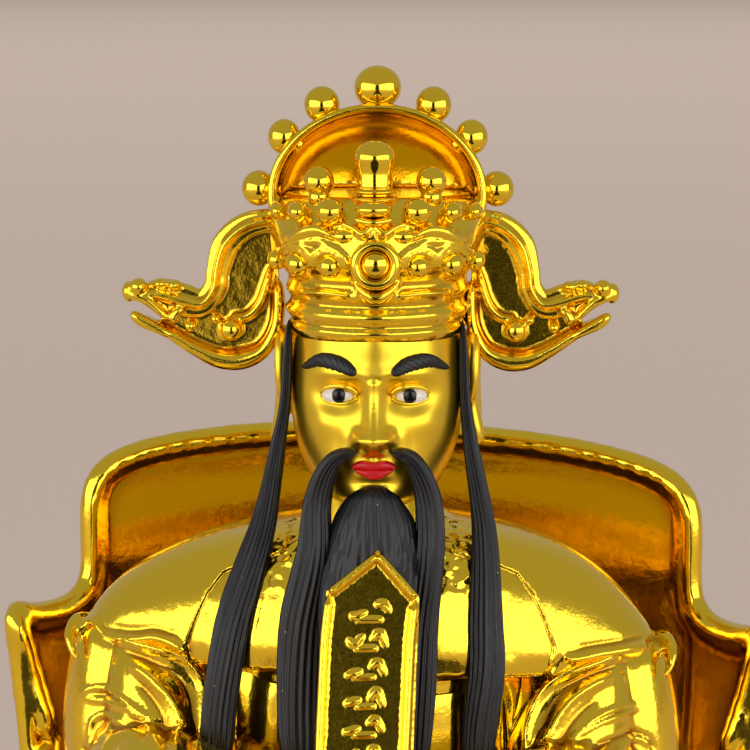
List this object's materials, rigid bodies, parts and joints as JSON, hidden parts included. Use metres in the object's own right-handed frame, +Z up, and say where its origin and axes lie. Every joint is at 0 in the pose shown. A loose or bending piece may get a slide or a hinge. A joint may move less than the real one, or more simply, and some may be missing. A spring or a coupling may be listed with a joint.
{
  "type": "caishen figure",
  "caption": "Gilded cast figure of a seated god of wealth in a jewelled winged court hat, holding a pointed tablet, on a screen-backed throne and stepped plinth.",
  "frame": {"origin": "centre of the plinth's underside, where the object stands", "axes": "+Z up, the figure faces -Y, +X to the viewer's right"},
  "size_m": [0.122, 0.1, 0.1996],
  "materials": {
    "gilt": "mirror-bright gold plating over cast resin, satin on the face, orange-brown in the hollows",
    "black_paint": "semi-gloss black paint over carved hair",
    "red_paint": "glossy red paint on the lips and lower lids",
    "white_paint": "glossy white paint on the eyes"
  },
  "bodies": {
    "root": {"figure": "gilt", "throne": "gilt", "plinth": "gilt"}
  },
  "joints": []
}
